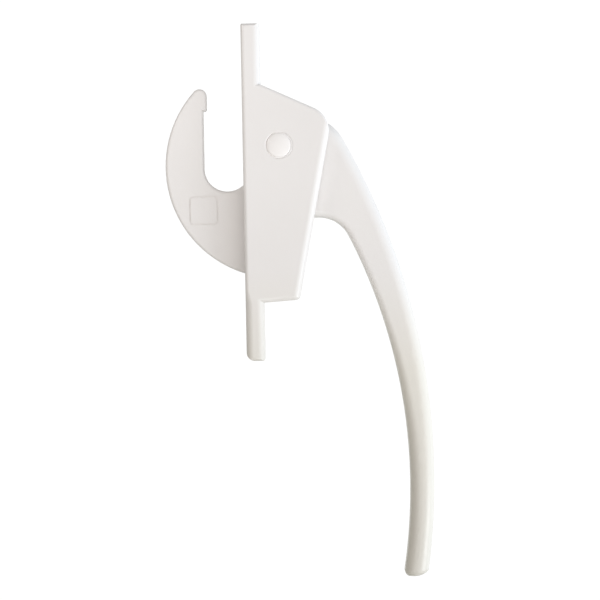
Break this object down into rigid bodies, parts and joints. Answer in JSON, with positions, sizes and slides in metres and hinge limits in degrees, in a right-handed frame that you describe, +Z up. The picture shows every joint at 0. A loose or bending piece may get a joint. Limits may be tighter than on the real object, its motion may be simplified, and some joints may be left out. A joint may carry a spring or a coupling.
{
  "type": "casement window handle",
  "caption": "White cast casement window handle: a curved lever on a narrow screw-fixed base, with a crescent cam hook behind it that pulls the sash shut.",
  "frame": {"origin": "on the mounting face at the back of the base plate, midway between the two fixing holes", "axes": "+X out of the mounting face into the room, +Z up along the plate towards the hook's tip, +Y across the handle, away from the side with the blank pad"},
  "size_m": [0.0626, 0.0202, 0.1319],
  "materials": {
    "powder_coat": "satin",
    "rivet_coat": "gloss",
    "bush_plastic": "satin",
    "spring_steel": "satin"
  },
  "bodies": {
    "base_body": {"base": "powder_coat", "pivot_rivet": "rivet_coat", "tail_washer": "rivet_coat", "friction_spring": "spring_steel"},
    "lever_body": {"lever": "powder_coat", "near_bush": "bush_plastic", "far_bush": "bush_plastic"}
  },
  "joints": [
    {"name": "lever_pivot", "type": "hinge", "parent": "base_body", "child": "lever_body", "pos_m": [0.0086, 0, 0.011], "axis": [0, -1, 0], "range_deg": [0, 75]}
  ]
}
